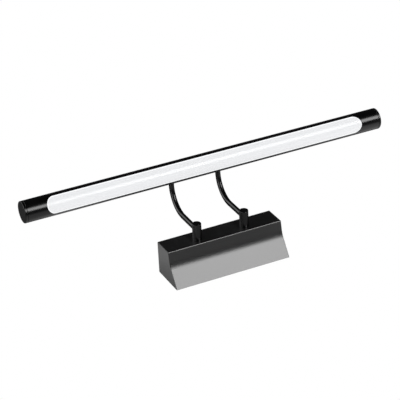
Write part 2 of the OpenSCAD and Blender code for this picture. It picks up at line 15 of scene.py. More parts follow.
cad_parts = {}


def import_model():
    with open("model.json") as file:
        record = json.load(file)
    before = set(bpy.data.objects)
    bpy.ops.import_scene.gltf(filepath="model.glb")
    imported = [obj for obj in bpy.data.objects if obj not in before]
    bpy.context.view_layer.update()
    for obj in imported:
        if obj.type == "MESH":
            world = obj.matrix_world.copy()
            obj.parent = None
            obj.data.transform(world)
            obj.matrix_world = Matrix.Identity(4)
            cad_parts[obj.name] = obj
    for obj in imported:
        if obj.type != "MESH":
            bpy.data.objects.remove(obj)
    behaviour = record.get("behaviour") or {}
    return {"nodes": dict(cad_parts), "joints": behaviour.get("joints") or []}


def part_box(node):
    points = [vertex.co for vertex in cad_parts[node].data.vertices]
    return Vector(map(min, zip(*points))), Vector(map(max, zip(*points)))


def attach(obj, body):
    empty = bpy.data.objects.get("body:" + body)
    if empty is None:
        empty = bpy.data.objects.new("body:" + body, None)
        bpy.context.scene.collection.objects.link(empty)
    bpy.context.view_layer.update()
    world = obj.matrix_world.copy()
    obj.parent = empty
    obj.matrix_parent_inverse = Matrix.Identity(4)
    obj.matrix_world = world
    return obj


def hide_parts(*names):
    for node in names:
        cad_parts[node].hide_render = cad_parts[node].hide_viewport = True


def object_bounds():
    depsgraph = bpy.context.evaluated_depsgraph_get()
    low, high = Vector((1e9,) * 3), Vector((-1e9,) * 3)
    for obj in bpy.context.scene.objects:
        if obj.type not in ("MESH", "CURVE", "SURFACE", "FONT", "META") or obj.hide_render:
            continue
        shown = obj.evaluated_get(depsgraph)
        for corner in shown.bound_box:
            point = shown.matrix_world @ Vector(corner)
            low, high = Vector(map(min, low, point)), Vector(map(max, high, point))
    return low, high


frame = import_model()
cad_low, cad_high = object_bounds()

# ---------------------------------------------------------------- sizes, in millimetres

MM = 0.001


def box_mm(node):
    """Lowest and highest corner of a CAD node, in millimetres."""
    low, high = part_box(node)
    return low / MM, high / MM


tube_low, tube_high = box_mm("lamp_tube")
board_low, board_high = box_mm("led_board")
house_low, house_high = box_mm("base_housing")
post_low, post_high = box_mm("post_right")
arm_low, arm_high = box_mm("arm_right")
screw_low, screw_high = box_mm("housing_screws")

AXIS = Vector(frame["joints"][0]["pos_m"]) / MM      # the pivot, which is the tube's own axis
toward_window = (board_low + board_high) / 2 - AXIS
WINDOW_ANGLE = math.atan2(toward_window.z, -toward_window.y)
LAMP = Matrix.Translation(AXIS * MM) @ Matrix.Rotation(-WINDOW_ANGLE, 4, "X")

TUBE_R = (tube_high.z - tube_low.z) / 2
TUBE_T = 1.5
TUBE_END = tube_high.x
WINDOW_L = 442.0
WINDOW_W = 21.9
RIM = 0.25               # rounding of the window's and the slots' edges
SLOT_X = (arm_low.x + arm_high.x) / 2
SLOT_HALF = 4.2          # half of an arm slot's width
SLOT_END = math.pi - math.radians(79.6)      # angle from the window's middle to where it ends

PAD_GAP = 0.15           # gap between the diffuser and the window's edge
PAD_R = TUBE_R - 0.15
PAD_ROUND = 0.9
STRIP_R = TUBE_R - TUBE_T - 0.1
STRIP_T = 1.5
STRIP_HALF = math.radians(66)      # how far the strip behind the window reaches round the tube
STRIP_END = box_mm("diffuser")[1].x

CAP_END = box_mm("end_cap_right")[1].x
CAP_T = 3.0
CAP_ROUND = 0.9
CAP_SPIGOT_L = 9.0
CAP_SPIGOT_T = 1.8

HOUSE_TOP_D = 32.0       # depth of the box's outer face
BROW = math.radians(10)        # slopes of the front's two flat faces, from square to the wall
FOOT = math.radians(34.5)
FLARE_R = 30.0           # bend between them
HOUSE_T = 2.0
HOUSE_FRONT_BEVEL = 0.55
HOUSE_BACK_ROUND = 0.8
HOUSE_END_ROUND = 0.7
HOUSE_INNER_ROUND = 1.0
SCREW_HOLE_R = 2.15      # holes of the two countersunk screws in the box's back
SCREW_SINK_R = 3.7
SCREW_Z = (screw_low.z + screw_high.z) / 2
SCREW_X = screw_high.x - (screw_high.z - screw_low.z) / 2

POST_R = (post_high.x - post_low.x) / 2
POST_Y = (post_low.y + post_high.y) / 2
POST_ROUND = 0.7
SPIGOT_R = 4.0           # the post's spigot, which goes through the box
SPIGOT_GAP = 0.15
GRUB_R = 1.6
BORE_DEPTH = 3.55        # how far past the post's middle the arm's bore goes

ARM_R = (arm_high.x - arm_low.x) / 2
ARM_Z = arm_low.z + ARM_R
ARM_BORE_R = ARM_R - 1.0
ARM_BEND_R = 32.5
ARM_GAP = 0.1            # gap between the arm and its bore in the post
AXLE_R = 3.5

SIDES = {"left": -1, "right": 1}


# ---------------------------------------------------------------- outlines

def between(low, high, steps):
    """Values from low to high, both included."""
    return [low + (high - low) * k / steps for k in range(steps + 1)]


def circle(sides):
    """Angles evenly round a circle."""
    return [2 * math.pi * k / sides for k in range(sides)]


def quarter_round(radius, steps=4):
    """A rounded edge, from the top to the side, as distances in from the side and down from the top."""
    return [(radius * (1 - math.sin(a)), radius * (1 - math.cos(a)))
            for a in between(0, math.pi / 2, steps)]


def rounded(corners, radii, steps=5):
    """A closed outline of 2-D corners, each one turned into an arc of its own radius."""
    out = []
    for i, corner in enumerate(corners):
        here, before = Vector(corner), Vector(corners[i - 1])
        after = Vector(corners[(i + 1) % len(corners)])
        if radii[i] == 0:
            out.append(here)
            continue
        a, b = (before - here).normalized(), (after - here).normalized()
        half = math.acos(max(-1.0, min(1.0, a.dot(b)))) / 2
        centre = here + (a + b).normalized() * radii[i] / math.sin(half)
        first, last = here + a * radii[i] / math.tan(half), here + b * radii[i] / math.tan(half)
        turn_a = math.atan2(first.y - centre.y, first.x - centre.x)
        turn_b = math.atan2(last.y - centre.y, last.x - centre.x)
        sweep = (turn_b - turn_a + math.pi) % (2 * math.pi) - math.pi
        for t in between(turn_a, turn_a + sweep, steps):
            out.append(centre + radii[i] * Vector((math.cos(t), math.sin(t))))
    return out


# ---------------------------------------------------------------- meshes

SAME_POINT = 0.002       # points nearer than this become one
SHORTEST_EDGE = 0.0005
ON_SURFACE = 0.003       # a point this near a round surface lies on it


class Shell:
    """Collects the faces of one piece, in millimetres, and joins what meets."""

    def __init__(self):
        self.bm = bmesh.new()

    def face(self, points, index=0):
        """One face, with its material's place on the piece."""
        made = self.bm.faces.new([self.bm.verts.new(p) for p in points])
        made.material_index = index

    def strip(self, ring_a, ring_b, closed=False, index=0):
        """Quads between two rows of as many points."""
        count = len(ring_a)
        for i in range(count if closed else count - 1):
            j = (i + 1) % count
            self.face([ring_a[i], ring_a[j], ring_b[j], ring_b[i]], index)

    def rows(self, rings, closed=False, index=0):
        """Quads between each row of points and the next."""
        for a, b in zip(rings, rings[1:]):
            self.strip(a, b, closed, index)

    def patch(self, outline, inner, place, index=0):
        """Triangles that fill a closed outline in a plane, with points inside it, put on a surface."""
        loop = [(i, (i + 1) % len(outline)) for i in range(len(outline))]
        found = delaunay_2d_cdt([Vector(p) for p in outline + inner], loop, [], 1, 1e-5)
        for face in found[2]:
            self.face([place(found[0][i]) for i in face], index)

    def moved(self, place):
        """The same shell, moved by a matrix."""
        bmesh.ops.transform(self.bm, matrix=place, verts=self.bm.verts)
        return self

    def mirror(self, axis):
        """Adds the mirror image across the plane through the origin."""
        copied = bmesh.ops.duplicate(self.bm, geom=self.bm.verts[:] + self.bm.edges[:] + self.bm.faces[:])
        for item in copied["geom"]:
            if isinstance(item, bmesh.types.BMVert):
                item.co[axis] = -item.co[axis]

    def mesh(self, name):
        """The finished mesh, in metres."""
        bm = self.bm
        bmesh.ops.remove_doubles(bm, verts=bm.verts[:], dist=SAME_POINT)
        bmesh.ops.dissolve_degenerate(bm, edges=bm.edges[:], dist=SHORTEST_EDGE)
        bmesh.ops.recalc_face_normals(bm, faces=bm.faces[:])
        bmesh.ops.scale(bm, vec=(MM, MM, MM), verts=bm.verts[:])
        made = bpy.data.meshes.new(name)
        bm.to_mesh(made)
        bm.free()
        return made


def lathe(outline, sides, turned="X"):
    """A closed outline of (along, radius) pairs, turned round an axis."""
    shell = Shell()
    rings = []
    for angle in circle(sides):
        c, s = math.cos(angle), math.sin(angle)
        if turned == "X":
            rings.append([(u, r * c, r * s) for u, r in outline])
        else:
            rings.append([(r * c, r * s, u) for u, r in outline])
    rings.append(rings[0])
    for a, b in zip(rings, rings[1:]):
        for i in range(len(outline)):
            j = (i + 1) % len(outline)
            if outline[i][1] > 0 or outline[j][1] > 0:
                corners = [a[i], a[j], b[j], b[i]]
                if outline[i][1] == 0:
                    corners = [a[i], a[j], b[j]]
                if outline[j][1] == 0:
                    corners = [a[i], a[j], b[i]]
                shell.face(corners)
    return shell


def shade(mesh, angle=35):
    """Smooth faces with sharp edges kept where the surface turns by more than an angle."""
    mesh.shade_smooth()
    mesh.set_sharp_from_angle(angle=math.radians(angle))


def new_object(name, data):
    """An object in the scene."""
    made = bpy.data.objects.new(name, data)
    bpy.context.scene.collection.objects.link(made)
    return made


def make_piece(name, shell, body, materials, stands_for=(), place=None, radii=()):
    """A finished piece that rides on a body and stands for CAD nodes."""
    mesh = shell.mesh(name)
    for material in materials:
        mesh.materials.append(material)
    if place is not None:
        mesh.transform(place)
    shade(mesh)
    if radii:
        exact_round(mesh, radii, place)
    piece = new_object(name, mesh)
    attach(piece, body)
    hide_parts(*stands_for)
    return piece


def exact_round(mesh, radii, place):
    """Gives vertices on round surfaces about the lamp's X axis their true normals. Bores are negative."""
    back = place.inverted()
    normals = []
    for vertex in mesh.vertices:
        spot = back @ vertex.co
        flat = Vector((0, spot.y, spot.z))
        near = [r for r in radii if abs(flat.length / MM - abs(r)) < ON_SURFACE]
        if near:
            normals.append(place.to_3x3() @ flat.normalized() * math.copysign(1, near[0]))
        else:
            normals.append(Vector((0, 0, 0)))
    mesh.normals_split_custom_set_from_vertices(normals)


def weigh_normals(piece):
    """Keeps flat faces flat beside rounded edges."""
    weigh = piece.modifiers.new("weighted_normals", "WEIGHTED_NORMAL")
    weigh.keep_sharp = True
    weigh.weight = 100


def cut(piece, cutters):
    """Cuts closed shells out of a piece's mesh."""
    tools = []
    for k, shell in enumerate(cutters):
        tool = new_object(f"cutter_{k}", shell.mesh("cutter"))
        tools.append(tool)
        step = piece.modifiers.new("cut", "BOOLEAN")
        step.operation, step.solver, step.object = "DIFFERENCE", "EXACT", tool
    bpy.context.view_layer.update()
    evaluated = piece.evaluated_get(bpy.context.evaluated_depsgraph_get())
    cut_mesh = bpy.data.meshes.new_from_object(evaluated)
    piece.modifiers.clear()
    piece.data = cut_mesh
    cut_mesh.name = piece.name
    shade(cut_mesh)
    for tool in tools:
        bpy.data.objects.remove(tool)


# ---------------------------------------------------------------- materials

def node_chain(name):
    """A new material, its node tree and its shader."""
    made = bpy.data.materials.new(name)
    made.use_nodes = True
    return made, made.node_tree, made.node_tree.nodes["Principled BSDF"]


def add(tree, kind, inputs=None, **settings):
    """A node with its settings, and values or links for its inputs."""
    node = tree.nodes.new(kind)
    for key, value in settings.items():
        setattr(node, key, value)
    for key, value in (inputs or {}).items():
        if isinstance(value, bpy.types.NodeSocket):
            tree.links.new(value, node.inputs[key])
        else:
            node.inputs[key].default_value = value
    return node


def object_position(tree, stretch=(1, 1, 1)):
    """The place on the piece, in its own frame, with each axis stretched."""
    where = add(tree, "ShaderNodeTexCoord")
    return add(tree, "ShaderNodeMapping", {"Vector": where.outputs["Object"], "Scale": stretch}).outputs[0]


def speckle(tree, size_mm, stretch=(1, 1, 1), detail=3.0):
    """Noise from 0 to 1 with features of about a size."""
    noise = add(tree, "ShaderNodeTexNoise", {
        "Vector": object_position(tree, stretch), "Scale": 1 / (size_mm * MM), "Detail": detail})
    return noise.outputs["Fac"]


def spread(tree, value, low, high):
    """A value of about 0.3 to 0.7 stretched over a range."""
    return add(tree, "ShaderNodeMapRange", {
        "Value": value, "From Min": 0.3, "From Max": 0.7, "To Min": low, "To Max": high}).outputs[0]


PATCH_MM = 12.0          # size of the patches in which a colour varies


def surface(name, dark, light, roughness, grain_mm, bump_mm=0.0, stretch=(1, 1, 1), **fixed):
    """A material whose colour and gloss vary a little, with a fine grain in relief."""
    made, tree, shader = node_chain(name)
    grain = speckle(tree, grain_mm, stretch)
    patches = speckle(tree, PATCH_MM, stretch, 2.0)
    # a Mix node's colour sockets share their names with its other sockets
    mix = tree.nodes.new("ShaderNodeMix")
    mix.data_type = "RGBA"
    colour_in = [s for s in mix.inputs if s.type == "RGBA"]
    colour_in[0].default_value, colour_in[1].default_value = (*dark, 1), (*light, 1)
    tree.links.new(spread(tree, patches, 0.0, 1.0), mix.inputs["Factor"])
    colour_out = [s for s in mix.outputs if s.type == "RGBA"][0]
    tree.links.new(colour_out, shader.inputs["Base Color"])
    tree.links.new(spread(tree, grain, *roughness), shader.inputs["Roughness"])
    if bump_mm:
        relief = add(tree, "ShaderNodeBump", {
            "Height": grain, "Strength": 1.0, "Distance": bump_mm * MM})
        tree.links.new(relief.outputs[0], shader.inputs["Normal"])
    for key, value in fixed.items():
        shader.inputs[key.replace("_", " ")].default_value = value
    return made


def opal(name, colour, glow, roughness):
    """Opal acrylic with the light of the LEDs in it."""
    made, tree, shader = node_chain(name)
    cloud = speckle(tree, 9.0, detail=1.0)
    tree.links.new(spread(tree, cloud, roughness - 0.02, roughness + 0.02), shader.inputs["Roughness"])
    shader.inputs["Base Color"].default_value = (*colour, 1)
    shader.inputs["Emission Color"].default_value = (0.97, 0.985, 1.0, 1)
    shader.inputs["Emission Strength"].default_value = glow
    shader.inputs["IOR"].default_value = 1.49
    shader.inputs["Specular IOR Level"].default_value = 0.22
    return made


DEEP_BLACK, BLACK = (0.0012, 0.0012, 0.0014), (0.0028, 0.0028, 0.003)
black_tube = surface("black_tube_coat", DEEP_BLACK, BLACK, (0.19, 0.24), 0.35, 0.0012)
black_box = surface("black_box_coat", BLACK, (0.004, 0.004, 0.0042), (0.36, 0.42), 0.35, 0.001,
                    Coat_Weight=1.0, Coat_Roughness=0.29, Coat_IOR=1.56)
black_metal = surface("black_bar_coat", DEEP_BLACK, BLACK, (0.19, 0.25), 0.3, 0.0012)
black_screw = surface("black_screw", (0.012, 0.012, 0.013), (0.02, 0.02, 0.021), (0.3, 0.42), 0.2, 0.003,
                      Metallic=1.0)
opal_face = opal("opal_face", (0.47, 0.47, 0.48), 0.58, 0.14)
opal_rim = opal("opal_rim", (0.42, 0.42, 0.43), 0.9, 0.2)
zinc = surface("zinc_steel", (0.5, 0.52, 0.55), (0.68, 0.7, 0.72), (0.28, 0.45), 0.5, 0.002, Metallic=1.0)
brass = surface("brass", (0.62, 0.42, 0.14), (0.78, 0.58, 0.25), (0.22, 0.38), 0.4, 0.002, Metallic=1.0)
aluminium = surface("extruded_aluminium", (0.66, 0.67, 0.69), (0.8, 0.81, 0.83), (0.25, 0.4), 0.25, 0.004,
                    stretch=(0.01, 1, 1), Metallic=1.0)
rubber = surface("black_rubber", (0.012, 0.012, 0.012), (0.022, 0.022, 0.022), (0.6, 0.8), 0.25, 0.01)
nylon = surface("natural_nylon", (0.72, 0.7, 0.62), (0.8, 0.78, 0.71), (0.35, 0.5), 0.3, 0.004,
                Subsurface_Weight=0.1)
dark_plastic = surface("dark_plastic", (0.02, 0.022, 0.025), (0.035, 0.037, 0.04), (0.4, 0.6), 0.15, 0.012)
green_board = surface("green_board", (0.01, 0.09, 0.025), (0.015, 0.13, 0.04), (0.25, 0.35), 0.8, 0.004)
white_board = surface("white_board", (0.78, 0.79, 0.77), (0.86, 0.86, 0.84), (0.3, 0.4), 0.5, 0.003)
phosphor = surface("led_phosphor", (0.8, 0.5, 0.06), (0.9, 0.62, 0.12), (0.3, 0.5), 0.1, 0.002)
tape = surface("winding_tape", (0.66, 0.42, 0.03), (0.78, 0.54, 0.07), (0.2, 0.35), 0.6, 0.006)
sleeve = surface("capacitor_sleeve", (0.012, 0.015, 0.03), (0.02, 0.024, 0.045), (0.2, 0.3), 0.5, 0.002)
copper = surface("enamelled_copper", (0.42, 0.14, 0.04), (0.62, 0.26, 0.09), (0.2, 0.35), 0.3, 0.02,
                 stretch=(0.1, 0.1, 1), Metallic=1.0)


def insulation(name, colour):
    """The plastic round a wire."""
    bright = tuple(c * 1.25 for c in colour)
    return surface(name, colour, bright, (0.35, 0.5), 0.4, 0.004)


red_lead = insulation("red_insulation", (0.42, 0.012, 0.01))
black_lead = insulation("black_insulation", (0.014, 0.014, 0.014))
brown_lead = insulation("brown_insulation", (0.14, 0.05, 0.018))
blue_lead = insulation("blue_insulation", (0.012, 0.07, 0.35))
earth_lead = insulation("earth_insulation", (0.06, 0.3, 0.03))

CAD_FINISHES = {
    zinc: ["wall_bracket", "clamp_screws", "terminal_screws", "block_screws", "earth_lug", "driver_strap",
           "driver_screws", "post_washers", "post_nuts", "pivot_axle", "friction_washers", "axle_clips",
           "board_screws", "bearing_screws"],
    brass: ["terminal_barrels", "earth_screw"],
    aluminium: ["led_tray"],
    rubber: ["cable_grommet", "cap_seals"],
    nylon: ["terminal_block", "cable_clamp", "bearing_left", "bearing_right"],
    dark_plastic: ["driver_case", "driver_cover", "driver_chips"],
    green_board: ["driver_board"],
    white_board: ["led_board"],
    phosphor: ["leds"],
    tape: ["driver_transformer"],
    sleeve: ["driver_capacitors"],
    copper: ["driver_choke"],
    red_lead: ["positive_lead", "board_lead_positive"],
    black_lead: ["negative_lead", "board_lead_negative"],
    brown_lead: ["live_lead"],
    blue_lead: ["neutral_lead"],
    earth_lead: ["earth_lead"],
    black_screw: ["housing_screws", "cap_screws", "arm_screws"],
}
for finish, names in CAD_FINISHES.items():
    for node in names:
        carried = frame["nodes"][node].data
        carried.materials.clear()
        carried.materials.append(finish)


# ---------------------------------------------------------------- lamp tube

STRAIGHT = (WINDOW_L - WINDOW_W) / 2
LONG_STATIONS = between(0, STRAIGHT, 42)
ARC_STEPS = 24
TURN_STATIONS = between(0, math.pi, 72)
EDGE = 0.1               # the least distances of inner mesh points from an open edge,
NEAR = 0.3               # from an outline's straight sides,
NEAR_BEND = 0.35         # from its bends
FAR = 0.5                # and from its tips
PAD_NEAR = 0.4           # the same for the pad's round ends


def window_line(grow):
    """A quarter of the window's outline, grown by a distance, as (x, z) from its middle to its tip."""
    half = WINDOW_W / 2 + grow
    line = [(x, half) for x in LONG_STATIONS[:-1]]
    bend = [(STRAIGHT + half * math.sin(a), half * math.cos(a))
            for a in between(0, math.pi / 2, ARC_STEPS)]
    return line + bend


def window_ring(grow, radius):
    """The same quarter, on a cylinder round the tube's axis."""
    return [Vector((x, -math.sqrt(radius ** 2 - z ** 2), z)) for x, z in window_line(grow)]


def slot_line(grow):
    """Half of an arm slot's outline as (x, angle), from its inner edge at the back, round its end."""
    half = SLOT_HALF + grow
    end_angle = SLOT_END + SLOT_HALF / TUBE_R
    side = between(math.pi, end_angle, 14)
    bend = [(SLOT_X - half * math.cos(a), end_angle - half * math.sin(a) / TUBE_R)
            for a in between(0, math.pi, 20)]
    return ([(SLOT_X - half, t) for t in side[:-1]] + bend
            + [(SLOT_X + half, t) for t in reversed(side[:-1])])


def on_tube(x, angle, radius):
    """A point on a cylinder round the tube's axis, at an angle from the window's middle."""
    return Vector((x, -radius * math.cos(angle), radius * math.sin(angle)))


def slot_ring(grow, radius):
    """Half of an arm slot's outline, on a cylinder round the tube's axis."""
    return [on_tube(x, t, radius) for x, t in slot_line(grow)]


def tube_patch(shell, radius, end_x, grow):
    """A quarter of the tube's wall at one radius, with the window and the arm slot left open."""
    window = [(x, radius * math.asin(z / radius)) for x, z in window_line(grow)]
    slot = [(x, radius * t) for x, t in slot_line(grow)]
    tip, top = window[-1][0], window[0][1]
    xs = sorted(set(LONG_STATIONS + between(STRAIGHT, end_x, 12)
                    + between(SLOT_X - 8, SLOT_X + 8, 10)))
    turns = [radius * t for t in TURN_STATIONS]
    back = turns[-1]
    outline = list(window)
    outline += [(x, 0.0) for x in xs if tip + FAR < x < end_x - EDGE]
    outline += [(end_x, t) for t in turns]
    outline += [(x, back) for x in reversed(xs) if slot[-1][0] + FAR < x < end_x - EDGE]
    outline += list(reversed(slot))
    outline += [(x, back) for x in reversed(xs) if EDGE < x < slot[0][0] - FAR]
    outline += [(0.0, t) for t in reversed(turns) if t > top + NEAR]
    half = WINDOW_W / 2 + grow
    inner = []
    for x in xs:
        for t in turns[1:-1]:
            in_window = t < radius * math.asin((half + NEAR) / radius) and x < STRAIGHT
            in_tip = (t < radius * math.pi / 2
                      and math.hypot(x - STRAIGHT, radius * math.sin(t / radius)) < half + NEAR_BEND)
            in_slot = abs(x - SLOT_X) < SLOT_HALF + grow + NEAR and t > radius * SLOT_END - FAR
            if EDGE < x < end_x - EDGE and not (in_window or in_tip or in_slot):
                inner.append((x, t))
    shell.patch(outline, inner, lambda p: on_tube(p.x, p.y / radius, radius))


def lamp_tube():
    """The tube with its long window and two arm slots, made from one quarter."""
    shell = Shell()
    bore = TUBE_R - TUBE_T
    tube_patch(shell, TUBE_R, TUBE_END - RIM, RIM)
    tube_patch(shell, bore, TUBE_END, 0.0)
    for ring in (window_ring, slot_ring):
        shell.rows([ring(inset, TUBE_R - drop) for inset, drop in quarter_round(RIM)] + [ring(0.0, bore)])
    ends = [(TUBE_END - inset, TUBE_R - drop) for inset, drop in quarter_round(RIM)]
    shell.rows([[on_tube(x, t, r) for t in TURN_STATIONS] for x, r in ends + [(TUBE_END, bore)]])
    shell.mirror(2)
    shell.mirror(0)
    make_piece("tube_body", shell, "head", [black_tube], ["lamp_tube"], LAMP, [TUBE_R, -bore])


# ---------------------------------------------------------------- diffuser

FACE_FINISH, RIM_FINISH = 0, 1      # places of the two opal materials on the piece


def pad_ring(grow, radius):
    """A quarter of the pad's outline, inside the window by the gap."""
    return window_ring(grow - PAD_GAP, radius)


def pad_patch(shell, grow, radius):
    """A quarter of the pad's face."""
    line = [(x, radius * math.asin(z / radius)) for x, z in window_line(grow - PAD_GAP)]
    half = WINDOW_W / 2 + grow - PAD_GAP
    tip, top = line[-1][0], line[0][1]
    xs = LONG_STATIONS + between(STRAIGHT, tip, 8)[1:-1]
    sides = between(0, top, 20)
    outline = list(line)
    outline += [(x, 0.0) for x in reversed(xs) if x < tip - FAR]
    outline += [(0.0, t) for t in sides[1:-1]]
    inner = []
    for x in xs[1:]:
        for t in sides[1:-1]:
            z = radius * math.sin(t / radius)
            if x < STRAIGHT or math.hypot(x - STRAIGHT, z) < half - PAD_NEAR:
                inner.append((x, t))
    shell.patch(outline, inner, lambda p: on_tube(p.x, p.y / radius, radius), FACE_FINISH)


def strip_patch(shell):
    """A quarter of the thin strip behind the pad, which clips inside the tube."""
    line = [(x, STRIP_R * math.asin(z / STRIP_R)) for x, z in window_line(-PAD_GAP)]
    half = WINDOW_W / 2 - PAD_GAP
    edge = STRIP_R * STRIP_HALF
    xs = LONG_STATIONS + between(STRAIGHT, STRIP_END, 5)[1:-1]
    sides = between(0, edge, 16)
    tip, top = line[-1][0], line[0][1]
    outline = list(line)
    outline += [(x, 0.0) for x in xs if tip + FAR < x]
    outline += [(STRIP_END, t) for t in sides]
    outline += [(x, edge) for x in reversed(xs) if x > 0]
    outline += [(0.0, edge)] + [(0.0, t) for t in reversed(sides[:-1]) if t > top + NEAR]
    inner = []
    for x in xs[1:]:
        for t in sides[1:-1]:
            if math.hypot(max(0, x - STRAIGHT), STRIP_R * math.sin(t / STRIP_R)) > half + NEAR:
                inner.append((x, t))
    shell.patch(outline, inner, lambda p: on_tube(p.x, p.y / STRIP_R, STRIP_R), RIM_FINISH)
    angles = between(0, STRIP_HALF, 16)
    low = STRIP_R - STRIP_T
    stations = xs + [STRIP_END]
    shell.rows([[on_tube(x, t, low) for t in angles] for x in stations], index=RIM_FINISH)
    shell.strip([on_tube(STRIP_END, t, STRIP_R) for t in angles],
                [on_tube(STRIP_END, t, low) for t in angles], index=RIM_FINISH)
    shell.strip([on_tube(x, STRIP_HALF, STRIP_R) for x in stations],
                [on_tube(x, STRIP_HALF, low) for x in stations], index=RIM_FINISH)


def diffuser():
    """The opal pad that fills the window, with the strip behind it, made from one quarter."""
    shell = Shell()
    pad_patch(shell, -PAD_ROUND, PAD_R)
    rings = [pad_ring(-inset, PAD_R - drop) for inset, drop in quarter_round(PAD_ROUND, 6)]
    shell.rows(rings + [pad_ring(0.0, STRIP_R)], index=RIM_FINISH)
    strip_patch(shell)
    shell.mirror(2)
    shell.mirror(0)
    make_piece("opal_diffuser", shell, "head", [opal_face, opal_rim], ["diffuser"], LAMP, [PAD_R])


# ---------------------------------------------------------------- end caps

def end_cap(hand):
    """A turned cap with a rounded outer edge and a spigot inside the tube."""
    inner, tip, bore = CAP_END - CAP_T, CAP_END - CAP_T - CAP_SPIGOT_L, STRIP_R - CAP_SPIGOT_T
    corners = [(CAP_END, 0), (CAP_END, TUBE_R), (inner, TUBE_R), (inner, STRIP_R),
               (tip, STRIP_R), (tip, bore), (inner, bore), (inner, 0)]
    outline = rounded(corners, [0, CAP_ROUND, 0.2, 0, 0.3, 0, 0, 0])
    shell = lathe([(SIDES[hand] * u, r) for u, r in outline], 96)
    piece = make_piece(f"cap_{hand}", shell, "head", [black_tube], [f"end_cap_{hand}"], LAMP)
    weigh_normals(piece)


# ---------------------------------------------------------------- wall box

WALL_EDGE = Vector((house_low.y, 0.0))
OUTER_EDGE = Vector((house_high.y - HOUSE_TOP_D, house_high.z))


def slope_up(slope):
    """Direction up a flat face of the front, as (y, z)."""
    return Vector((math.sin(slope), math.cos(slope)))


def slope_out(slope):
    """Direction square to it, away from the box."""
    return Vector((-math.cos(slope), math.sin(slope)))


def bend_centre():
    """Centre of the bend that touches both flat faces of the front."""
    brow, foot = slope_out(BROW), slope_out(FOOT)
    a, b = brow.dot(OUTER_EDGE) + FLARE_R, foot.dot(WALL_EDGE) + FLARE_R
    return Vector((b * brow.y - a * foot.y, a * foot.x - b * brow.x)) / math.sin(FOOT - BROW)


def house_section(inset, front_bevel, back_round):
    """The box's section as (y, z), open at the wall, from its front edge over the top to its back edge."""
    centre = bend_centre()
    top, back = house_high.z - inset, house_high.y - inset
    start = Vector((WALL_EDGE.x + inset / math.cos(FOOT), 0.0))
    bend = [centre - (FLARE_R + inset) * slope_out(a) for a in between(FOOT, BROW, 20)]
    foot = [start.lerp(bend[0], t) for t in between(0, 1, 6)[:-1]]
    corner = bend[-1] + slope_up(BROW) * (top - bend[-1].y) / math.cos(BROW)
    depth, edge = 0.65 * front_bevel, 0.3 * front_bevel
    below, beside = corner - slope_up(BROW) * front_bevel, corner + Vector((depth, 0))
    bent = rounded([bend[-1], below, beside, (back, top), (back, 0)], [0, edge, edge, back_round, 0], 6)
    down = [Vector((back, z)) for z in between(top - back_round, 0, 8)]
    return foot + bend + [bend[-1].lerp(bent[1], 0.5)] + bent[1:-1] + down[1:]


def base_housing():
    """A bent sheet box, open at the wall, with rounded ends and holes for the posts and screws."""
    shell = Shell()
    end = house_high.x
    stations = [(end - x, inset) for x, inset in quarter_round(HOUSE_END_ROUND)]
    stations = [(-x, inset) for x, inset in reversed(stations)] + stations
    outer = []
    for x, inset in stations:
        less = 0.9 * inset
        section = house_section(inset, HOUSE_FRONT_BEVEL - less, HOUSE_BACK_ROUND - less)
        outer.append([Vector((x, y, z)) for y, z in section])
    section = house_section(HOUSE_T, HOUSE_INNER_ROUND, HOUSE_INNER_ROUND)
    inner = [[Vector((x, y, z)) for y, z in section] for x in (HOUSE_T - end, end - HOUSE_T)]
    for rings in (outer, inner):
        shell.rows(rings)
        shell.face(rings[0])
        shell.face(rings[-1])
    front = [ring[0] for ring in outer]
    back = [ring[-1] for ring in outer]
    hollow = [inner[0][0], inner[1][0], inner[1][-1], inner[0][-1]]
    middle = len(front) // 2
    shell.face([front[middle - 1], front[middle], hollow[1], hollow[0]])
    shell.face([back[middle - 1], back[middle], hollow[2], hollow[3]])
    shell.face(front[middle:] + back[middle:][::-1] + [hollow[2], hollow[1]])
    shell.face(front[:middle][::-1] + [hollow[0], hollow[3]] + back[:middle])
    piece = make_piece("box_shell", shell, "base", [black_box], ["base_housing"])
    cutters = []
    low, high, radius = house_high.z - 2 * HOUSE_T, house_high.z + HOUSE_T, SPIGOT_R + SPIGOT_GAP
    for side in SIDES.values():
        hole = lathe([(low, 0), (low, radius), (high, radius), (high, 0)], 48, "Z")
        cutters.append(hole.moved(Matrix.Translation((side * SLOT_X, POST_Y, 0))))
        sink = lathe([(-2 * HOUSE_T, 0), (-2 * HOUSE_T, SCREW_HOLE_R),
                      (SCREW_HOLE_R - SCREW_SINK_R, SCREW_HOLE_R), (1, SCREW_SINK_R + 1), (1, 0)], 48, "Z")
        outward = Matrix.Rotation(-math.pi / 2, 4, "X")
        cutters.append(sink.moved(Matrix.Translation((side * SCREW_X, house_high.y, SCREW_Z)) @ outward))
    cut(piece, cutters)
    weigh_normals(piece)


# ---------------------------------------------------------------- posts and arms

ARM_SIDES = 40


def post(hand):
    """A turned post with a spigot through the box, bored for the arm and its grub screw."""
    top, foot, low = post_high.z, house_high.z, post_low.z
    corners = [(top, 0), (top, POST_R), (foot, POST_R), (foot, SPIGOT_R), (low, SPIGOT_R), (low, 0)]
    shell = lathe(rounded(corners, [0, POST_ROUND, 0.25, 0, 0.4, 0]), 72, "Z")
    x = SIDES[hand] * SLOT_X
    piece = make_piece(f"bar_{hand}", shell, "base", [black_metal], [f"post_{hand}"],
                       Matrix.Translation(Vector((x, POST_Y, 0)) * MM))
    bore_r, outside = ARM_R + ARM_GAP, POST_R + 2
    bore = lathe([(-BORE_DEPTH, 0), (-BORE_DEPTH, bore_r), (outside, bore_r), (outside, 0)], 48)
    grub = lathe([(0, 0), (0, GRUB_R), (outside, GRUB_R), (outside, 0)], 32)
    middle = Matrix.Translation((x, POST_Y, ARM_Z))
    cut(piece, [bore.moved(middle @ Matrix.Rotation(math.pi / 2, 4, "Z")), grub.moved(middle)])
    weigh_normals(piece)


